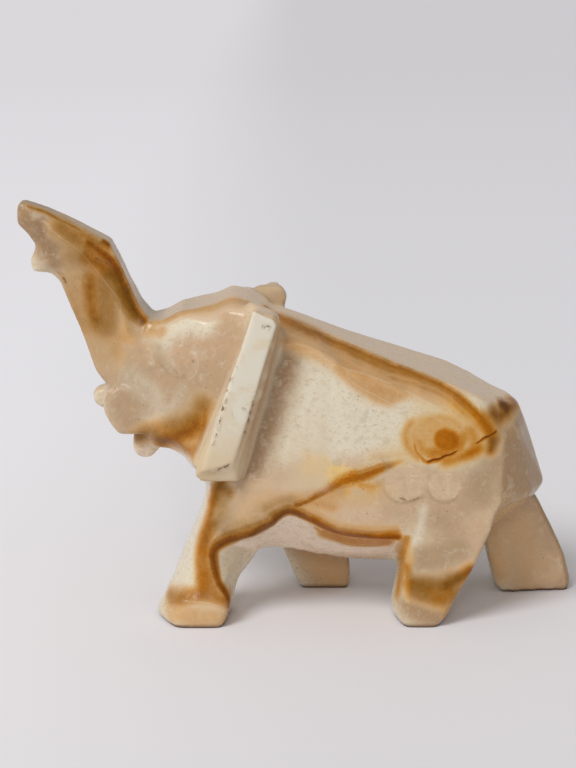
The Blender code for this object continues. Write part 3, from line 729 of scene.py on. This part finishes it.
def followLine(points, normals, track, reach):
    # For each point near the line: distance, signed distance (below it is plus), length along it
    flat = np.array(laying["sideView"])
    points, track = points * flat, track * flat
    far = np.full(len(points), laying["farOff"])
    across = far.copy()
    along = np.zeros(len(points))
    near = ((points > track.min(0) - reach) & (points < track.max(0) + reach)).all(1)
    spots, up = points[near], normals[near]
    best = far[near]
    signed = best.copy()
    length = np.zeros(len(spots))
    walked = 0.0
    for start, end in zip(track[:-1], track[1:]):
        step = end - start
        reached = float(np.linalg.norm(step))
        offset = spots - start
        share = np.clip(offset @ step / max(reached ** 2, 1e-9), 0, 1)
        offset -= share[:, None] * step
        gap = np.linalg.norm(offset, axis=1)
        better = gap < best
        turn = (np.cross(step, offset) * up).sum(1)
        best = np.where(better, gap, best)
        signed = np.where(better, np.where(turn > 0, -gap, gap), signed)
        length = np.where(better, walked + share * reached, length)
        walked += reached
    far[near], across[near], along[near] = best, signed, length
    return far, across, along, walked


def keepVector(mesh, name, *columns):
    layer = mesh.attributes.new(name, "FLOAT_VECTOR", "POINT")
    layer.data.foreach_set("vector", np.stack(columns, 1).ravel())


def keepNumber(mesh, name, column):
    mesh.attributes.new(name, "FLOAT", "POINT").data.foreach_set("value", column)


def markLines(mesh):
    points, normals = readPoints(mesh) / mm, readNormals(mesh)
    tree = BVHTree.FromPolygons([v.co for v in mesh.vertices], [p.vertices for p in mesh.polygons])

    def strokeCover(width, soft, line, side=leftSide):
        track = onStone(tree, curveThrough(line, laying["strokeStep"]), side)
        far = followLine(points, normals, track, width + 2 * soft)[0]
        inside, outside = laying["strokeRim"]
        return 1 - ramp(far, width - inside * soft, width + outside * soft)

    for name, band in bands.items():
        path = curveThrough(band["line"], laying["bandStep"])
        side = band.get("side", leftSide)
        track = onStone(tree, path, side, band.get("depth"))
        far, across, along, length = followLine(points, normals, track, laying["bandReach"])
        across *= -side
        steps = np.linspace(0, length, len(path))
        above, below = (np.interp(along, steps, path[:, column]) for column in (2, 3))
        startFade, endFade = band["ends"]
        here = ramp(along, 0, startFade) * ramp(length - along, 0, endFade)
        here *= (1 - ramp(far, *laying["bandFade"])) * ramp(normals[:, 1] * side, -0.3, 0.1)
        keepVector(mesh, name, along, np.clip(across / np.where(across < 0, above, below), -4, 4), here)

    # Strokes of stain run into one another
    blend = laying["strokeBlend"]
    depth = sum((amount * strokeCover(width, soft, *line)) ** blend for amount, width, soft, *line in stains)
    keepNumber(mesh, "stainDepth", depth ** (1 / blend))
    for hue, strokes in stainHues.items():
        cover = np.zeros(len(points))
        for amount, width, soft, *line in strokes:
            cover = np.maximum(cover, amount * strokeCover(width, soft, *line))
        keepNumber(mesh, hue + "Hue", cover)
    covers = {}
    for tone, width, soft, amount, *line in coats:
        covers[tone] = np.maximum(covers.get(tone, 0), amount * strokeCover(width, soft, *line))
    for tone, column in covers.items():
        keepNumber(mesh, tone + "Coat", column)

    for name, lines in fineLines.items():
        nearest = np.full(len(points), laying["farOff"])
        found = np.zeros((len(points), 3))
        for strength, line in lines:
            track = onStone(tree, curveThrough(line, laying["lineStep"]), leftSide)
            far, across, along, length = followLine(points, normals, track, laying["lineReach"])
            here = strength * ramp(along, 0, 1) * ramp(length - along, 0, 1)
            better = far < nearest
            nearest = np.where(better, far, nearest)
            found = np.where(better[:, None], np.stack([along, across, here], 1), found)
        found[nearest > laying["lineReach"]] = 0
        keepVector(mesh, name, *found.T)
    return list(covers)


def markForms(mesh):
    # Marks for the ears, the rump, the belly, the soles and the strips along the top. Most carry painted
    # light or shade:
    # the ears' rear bevels, the rump, the strips and the soles' rims take painted shade, the belly painted
    # bounce light.
    points, normals = readPoints(mesh), readNormals(mesh)
    back, up = normals[:, 0], normals[:, 2]
    ear = zone(points, "ears")
    keepNumber(mesh, "earSlab", ear)
    for name in ("sawnFace", "warmSlab"):
        keepNumber(mesh, name, ear * zone(points, name))
    # The ears' rear-facing bevels and the far ear: partly painted shade, partly the stone's warm tint
    bevels = zone(points, "bevels") * ramp(back, 0.15, 0.55)
    keepNumber(mesh, "warmBevelShade", np.maximum(bevels, 0.75 * zone(points, "farEar")))
    # Painted shade on the rump's tail-facing faces, and on the downward faces of its ledge over the hind leg
    rear = zone(points, "rear") * ramp(back, 0.3, 0.5)
    keepNumber(mesh, "rumpShade", np.maximum(rear, zone(points, "rearUnder") * ramp(-up, 0.1, 0.4)))
    # The belly's downward faces take painted bounce light from the table, paler than the stone's own tone
    # there
    keepNumber(mesh, "belly", zone(points, "belly") * ramp(-up, 0.25, 0.5))
    # painted contact shadow along the soles' rims, where they meet the table
    keepNumber(mesh, "soleRim", zone(points, "soleRim"))
    # Painted shade on the up-facing strip along the back, and below on the trunk's top strip
    keepNumber(mesh, "topStrip", zone(points, "topStrip") * ramp(up, 0.45, 0.8) * (1 - ear))
    keepNumber(mesh, "trunkStrip", zone(points, "trunkStrip") * ramp(0.55 * back + 0.83 * up, 0.55, 0.75))


coatNames = markLines(stone.data)
markForms(stone.data)
print("marks laid on the stone")

stoneLook = {
    # Noises: length of the waves, detail, roughness, warp. Below, a swing is a noise and how far it
    # shifts a rim either way.
    "grains": {"drift": (7.0, 3.0, 0.55, 0.4), "cloud": (3.2, 4.0, 0.6, 0.3), "crumb": (1.3, 3.0, 0.65, 0.2),
               "dust": (0.5, 2.0, 0.6, 0.0)},
    "fleck": (0.65, 3.0, 0.6), "fleckSlant": (0, 0.3, 0), "fleckStretch": (0.6, 1, 1),
    "coatSwings": [("drift", 0.5), ("cloud", 0.7)], "coatRim": (0.12, 0.95),
    # Mottles: tone, noise, from where to where in it, and the cover reached there
    "mottles": [("rose", "crumb", 0.5, 0.75, 0.34), ("milk", "crumb", 0.47, 0.25, 0.24),
                ("milk", "cloud", 0.52, 0.74, 0.34), ("greige", "cloud", 0.48, 0.3, 0.34)],
    # Tones of the ears over their bevels' own: mark, tone, swing and rim. The first is painted shade on the
    # rear-facing bevels and the far ear, over their warm tint
    "earCoats": [("warmBevelShade", "warmBevelShade", ("cloud", 0.3), (0.2, 0.9)),
                 ("sawnFace", "slab", ("crumb", 0.35), (0.3, 0.65)),
                 ("warmSlab", "warmSlab", ("cloud", 0.5), (0.15, 0.95, 0.0, 0.85))],
    "bandSwings": [("drift", 0.35), ("cloud", 0.3)], "grit": 0.1, "bandBlend": 0.08,
    "layers": (0.09, 1.6),   # how close the bands' layers lie, along a band and across it
    "stainSwings": [("cloud", 0.34), ("crumb", 0.26), ("dust", 0.2)],    # in step with its depth
    "hueSwing": ("cloud", 0.5), "hueRim": (0.1, 0.9),
    "pore": 1.2, "poreSize": (0.07, 0.2), "poreCover": 0.5,      # a pore's cell, then its radius
    "rimGlintCover": 0.35, "dirtCover": 0.85,
    "polish": 0.22, "polishDrift": (-0.06, 0.1),     # roughness of a polished facet
    "sawn": 0.46,            # and of the ears' sawn faces
    "shine": 0.34, "stainShine": 0.12,   # deep stain takes less polish
    "bump": 0.5, "bumpDepth": 0.1,
    "glow": 0.2,             # how much light goes into the stone
    "glowDepth": (1.4, 0.8, 0.4),
}


def toneOf(colour, cover=1):
    # A colour as seen on a screen, from 0 to 255, as the shader's own values
    shade = (((c / 255 + 0.055) / 1.055) ** 2.4 if c > 10 else c / 255 / 12.92 for c in colour)
    return tuple(shade) + (cover,)


class Shader:
    # One material, with short ways to add its nodes
    def __init__(self, name):
        self.material = bpy.data.materials.new(name)
        self.material.use_nodes = True
        self.tree = self.material.node_tree
        self.tree.nodes.clear()
        self.grains = {}     # noises by name, and the name can then stand for the noise
        self.place = self.node("ShaderNodeTexCoord").outputs["Object"]

    def node(self, kind, sockets=None, **settings):
        node = self.tree.nodes.new(kind)
        for key, value in settings.items():
            setattr(node, key, value)
        for key, value in (sockets or {}).items():
            if isinstance(value, str):
                value = self.grains[value]
            if isinstance(value, bpy.types.NodeSocket):
                self.tree.links.new(value, node.inputs[key])
            else:
                node.inputs[key].default_value = value
        return node

    def maths(self, operation, *values):
        return self.node("ShaderNodeMath", dict(enumerate(values)), operation=operation).outputs[0]

    def plus(self, first, second):
        return self.maths("ADD", first, second)

    def minus(self, first, second):
        return self.maths("SUBTRACT", first, second)

    def times(self, first, second):
        return self.maths("MULTIPLY", first, second)

    def shaken(self, value, *swings):
        # Each swing is noise from 0 to 1, added so that it goes either way of nought
        for swing, amount in swings:
            value = self.plus(value, self.times(self.minus(swing, 0.5), amount))
        return value

    def between(self, value, low, high, lowest=0.0, highest=1.0):
        sockets = {"Value": value, "From Min": low, "From Max": high, "To Min": lowest, "To Max": highest}
        return self.node("ShaderNodeMapRange", sockets, interpolation_type="SMOOTHSTEP").outputs["Result"]

    def over(self, under, cover, tone):
        if isinstance(tone, str):
            tone = toneOf(tones[tone])
        return self.node("ShaderNodeMix", {0: cover, 6: under, 7: tone}, data_type="RGBA").outputs[2]

    def mark(self, name, kind="Fac"):
        return self.node("ShaderNodeAttribute", attribute_name=name).outputs[kind]

    def parts(self, vector):
        return self.node("ShaderNodeSeparateXYZ", {0: vector}).outputs

    def grain(self, place, length, detail, roughness, warp=0.0):
        # Noise with waves of the given length in millimetres
        sockets = {"Vector": place, "Scale": 1 / (length * mm), "Detail": detail, "Roughness": roughness,
                   "Distortion": warp}
        return self.node("ShaderNodeTexNoise", sockets).outputs["Fac"]

    def rampOver(self, value, places, shades, interpolation="LINEAR"):
        # The ramp runs from the first place to the last, with a shade at each
        low, high = places[0], places[-1]
        scaled = self.node("ShaderNodeMapRange", {"Value": value, "From Min": low, "From Max": high})
        node = self.node("ShaderNodeValToRGB", {0: scaled.outputs[0]})
        node.color_ramp.interpolation = interpolation
        elements = node.color_ramp.elements
        while len(elements) < len(places):
            elements.new(0.5)
        for element, place, shade in zip(elements, places, shades):
            element.position = (place - low) / (high - low)
            element.color = shade
        return node.outputs["Color"], node.outputs["Alpha"]

    def curveOver(self, value, stops):
        # A smooth curve of plain values: each stop is its place and its value
        places, levels = zip(*stops)
        return self.rampOver(value, places, [(level, level, level, 1) for level in levels], "EASE")[0]

    def finish(self, sockets):
        surface = self.node("ShaderNodeBsdfPrincipled", sockets)
        self.node("ShaderNodeOutputMaterial", {"Surface": surface.outputs[0]})
        return self.material


def paleStone(shader, plain, strip):
    colour = shader.over(toneOf(tones["cream"]), shader.between("drift", 0.35, 0.65), "milk")
    for name in coatNames:
        if name == "drab":
            # Painted shade on the up-facing strip along the back and on the trunk's top strip; it lies under
            # the dark tones only
            colour = shader.over(colour, shader.between(strip, 0.1, 0.9, 0.0, 0.9), "topStripShade")
            colour = shader.over(colour, shader.mark("trunkStrip"), "trunkStripShade")
        cover = shader.shaken(shader.mark(name + "Coat"), *stoneLook["coatSwings"])
        colour = shader.over(colour, shader.between(cover, *stoneLook["coatRim"]), name)
    # painted bounce light on the belly's downward faces
    colour = shader.over(colour, shader.mark("belly"), "paintedBounceLight")
    # painted shade on the rump's rear and under faces
    colour = shader.over(colour, shader.mark("rumpShade"), "drab")
    for tone, name, low, high, cover in stoneLook["mottles"]:
        mottle = shader.between(name, low, high, 0.0, cover)
        colour = shader.over(colour, shader.times(mottle, plain), tone)
    slanted = shader.node("ShaderNodeMapping", {
        "Vector": shader.place, "Rotation": stoneLook["fleckSlant"], "Scale": stoneLook["fleckStretch"]})
    fleck = shader.grain(slanted.outputs[0], *stoneLook["fleck"])
    fleck = shader.times(shader.between(fleck, 0.5, 0.7, 0.0, 0.5), shader.between("cloud", 0.4, 0.62))
    return shader.over(colour, shader.times(fleck, plain), "greige")


def earTones(shader, colour, ear):
    colour = shader.over(colour, ear, "bevel")
    for name, tone, swing, rim in stoneLook["earCoats"]:
        cover = shader.shaken(shader.mark(name), swing)
        colour = shader.over(colour, shader.between(cover, *rim), tone)
    cast = shader.times(shader.between("drift", 0.46, 0.62, 0.0, 0.6), ear)
    return shader.over(colour, cast, "cream")


def stainDepth(shader):
    # The stain's depth, from its patches and its bands
    depth = shader.mark("stainDepth")
    for name, band in bands.items():
        along, across, here = shader.parts(shader.mark(name, "Vector"))
        # Layers that run with the band
        closeAlong, closeAcross = stoneLook["layers"]
        flow = shader.node("ShaderNodeCombineXYZ", {
            0: shader.times(along, closeAlong), 1: shader.times(across, closeAcross)})
        layers = shader.node("ShaderNodeTexNoise", {"Vector": flow.outputs[0], "Scale": 1.6, "Detail": 3.0})
        grit = ("dust", band.get("grit", stoneLook["grit"]))
        streaks = (layers.outputs["Fac"], band["streaks"])
        across = shader.shaken(across, *stoneLook["bandSwings"], grit, streaks)
        level = shader.times(shader.curveOver(across, band["stain"]), here)
        depth = shader.maths("SMOOTH_MAX", depth, level, stoneLook["bandBlend"])
    return shader.plus(depth, shader.times(depth, shader.shaken(0.0, *stoneLook["stainSwings"])))


def stainTone(shader, depth):
    def stainOf(hue):
        shades = [toneOf(tone, cover) for tone, cover in zip(stainTones[hue], stainCovers)]
        return shader.rampOver(depth, stainDepths, shades)

    stain, cover = stainOf("brown")
    for hue in stainHues:
        share = shader.shaken(shader.mark(hue + "Hue"), stoneLook["hueSwing"])
        stain = shader.over(stain, shader.between(share, *stoneLook["hueRim"]), stainOf(hue)[0])
    return stain, cover


def poreCover(shader, plain):
    # Small dark specks, in some of the cells only
    sockets = {"Vector": shader.place, "Scale": 1 / (stoneLook["pore"] * mm), "Randomness": 1.0}
    cells = shader.node("ShaderNodeTexVoronoi", sockets)
    chosen = shader.node("ShaderNodeSeparateColor", {0: cells.outputs["Color"]})
    size = shader.between(chosen.outputs[1], 0.0, 1.0, *stoneLook["poreSize"])
    near = shader.minus(size, cells.outputs["Distance"])
    speck = shader.times(shader.between(near, 0.0, 0.07), shader.between(chosen.outputs[0], 0.6, 0.85))
    return shader.times(shader.times(speck, shader.between("drift", 0.42, 0.6, 0.25, 1.0)), plain)


def lineCover(shader, name, low, high, crumbs):
    # How much a group of fine lines shows, broken up by the crumbs
    along, across, here = shader.parts(shader.mark(name, "Vector"))
    across = shader.maths("ABSOLUTE", shader.shaken(across, ("cloud", 0.5)))
    cover = shader.times(shader.between(across, low, high), here)
    return shader.times(cover, shader.between("crumb", *crumbs))


def stoneMaterial():
    shader = Shader("bandedStone")
    for name, kind in stoneLook["grains"].items():
        shader.grains[name] = shader.grain(shader.place, *kind)
    ear, strip = shader.mark("earSlab"), shader.mark("topStrip")
    quiet = shader.maths("MAXIMUM", shader.times(ear, 0.92), shader.times(strip, 0.6))
    plain = shader.minus(1.0, quiet)

    colour = earTones(shader, paleStone(shader, plain, strip), ear)
    depth = stainDepth(shader)
    stain, cover = stainTone(shader, depth)
    colour = shader.over(colour, shader.times(cover, shader.minus(1.0, ear)), stain)
    speck = poreCover(shader, plain)
    colour = shader.over(colour, shader.times(speck, stoneLook["poreCover"]), "umber")
    # painted highlights along the facets' rims, over a low ridge in the bump
    rim = lineCover(shader, "rimGlintLines", 0.3, 0.0, (0.38, 0.56, 0.25, 1.0))
    colour = shader.over(colour, shader.times(rim, stoneLook["rimGlintCover"]), "milk")
    colour = shader.over(colour, lineCover(shader, "dirtLines", 1.1, 0.2, (0.4, 0.6, 0.0, 0.4)), "drab")
    dirt = lineCover(shader, "dirtLines", 0.4, 0.1, (0.47, 0.58))
    colour = shader.over(colour, shader.times(dirt, stoneLook["dirtCover"]), "umber")
    # painted contact shadow under the soles' rims
    colour = shader.over(colour, shader.mark("soleRim"), "umber")

    smooth = stoneLook["polish"]
    shine = shader.between(depth, 0.3, 0.7, stoneLook["shine"], stoneLook["stainShine"])
    rough = shader.between("cloud", 0.35, 0.7, *(smooth + drift for drift in stoneLook["polishDrift"]))
    rough = shader.plus(rough, shader.times(ear, stoneLook["sawn"] - smooth))
    height = shader.plus(shader.times("crumb", 0.5), shader.times("dust", 0.25))
    for part, amount in (speck, -0.5), (dirt, -0.15), (rim, 0.9):
        height = shader.plus(height, shader.times(part, amount))
    height = shader.times(height, shader.plus(shader.times(plain, 0.9), 0.1))
    bump = shader.node("ShaderNodeBump", {
        "Strength": stoneLook["bump"], "Distance": stoneLook["bumpDepth"] * mm, "Height": height})
    return shader.finish({
        "Base Color": colour, "Roughness": rough, "IOR": 1.5, "Normal": bump.outputs[0],
        "Specular IOR Level": shine, "Subsurface Weight": stoneLook["glow"],
        "Subsurface Radius": tuple(reach * mm for reach in stoneLook["glowDepth"]), "Subsurface Scale": 1.0})


stone.data.materials.clear()
stone.data.materials.append(stoneMaterial())
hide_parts("elephant")
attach(stone, "root")
print("stone material made")

# The table, the lights and the camera. Lengths are in metres here.
studio = {
    "tableTones": [(-0.6, (229, 228, 232)), (0.204, (229, 228, 232)), (0.24, (227, 227, 232)),
                   (1.8, (219, 218, 223))],      # how far back, and the tone there
    "tableSize": 30.0,
    # painted light on the table, paler on the side the key light comes from
    "paintedLightSide": (-0.12, 0.03, 0.15),   # the table is paler towards this x, from this x, by this much
    "suns": [   # name, where from, spread in degrees, power
        ("softKey", (-1.2, -1.5, 2.0), 26, 1.75),
        ("frontGlow", (-0.12, -0.9, 0.46), 9, 0.28),
    ],
    "skyTone": (1.0, 0.97, 0.94), "skyPower": 0.43,
    "cameraPlace": (-0.0036, -0.49238, 0.16630), "cameraTilt": 77.3, "lens": 96.19,
}


def makeTable():
    reach = studio["tableSize"] / 2
    mesh = bpy.data.meshes.new("table")
    corners = [(-reach, -reach, 0), (reach, -reach, 0), (reach, reach, 0), (-reach, reach, 0)]
    mesh.from_pydata(corners, [], [(0, 1, 2, 3)])
    table = bpy.data.objects.new("table", mesh)
    bpy.context.scene.collection.objects.link(table)
    shader = Shader("palePaper")
    across, back = shader.parts(shader.place)[:2]
    places, shades = zip(*studio["tableTones"])
    tone = shader.rampOver(back, places, [toneOf(shade) for shade in shades])[0]
    # the table's paler side is painted light
    pale, plain, amount = studio["paintedLightSide"]
    lift = shader.between(across, plain, pale, 1.0, 1.0 + amount)
    tone = shader.node("ShaderNodeVectorMath", {0: tone, "Scale": lift}, operation="SCALE").outputs[0]
    mesh.materials.append(shader.finish({"Base Color": tone, "Roughness": 0.9, "Specular IOR Level": 0.2}))


def makeSuns():
    for name, place, spread, power in studio["suns"]:
        lamp = bpy.data.lights.new(name, "SUN")
        lamp.angle = math.radians(spread)
        lamp.energy = power
        holder = bpy.data.objects.new(name, lamp)
        holder.location = place
        holder.rotation_euler = (-holder.location).to_track_quat("-Z", "Y").to_euler()
        bpy.context.scene.collection.objects.link(holder)


def makeSky():
    world = bpy.data.worlds.new("softSky")
    world.use_nodes = True
    sky = world.node_tree.nodes["Background"]
    sky.inputs["Color"].default_value = studio["skyTone"] + (1,)
    sky.inputs["Strength"].default_value = studio["skyPower"]
    bpy.context.scene.world = world
    bpy.context.scene.view_settings.view_transform = "Standard"


def makeCamera():
    camera = bpy.data.cameras.new("camera")
    camera.lens = studio["lens"]
    camera.clip_start = 0.01
    holder = bpy.data.objects.new("camera", camera)
    holder.location = studio["cameraPlace"]
    holder.rotation_euler = (math.radians(studio["cameraTilt"]), 0, 0)
    bpy.context.scene.collection.objects.link(holder)
    bpy.context.scene.camera = holder


makeTable()
makeSuns()
makeSky()
makeCamera()
print("studio made")
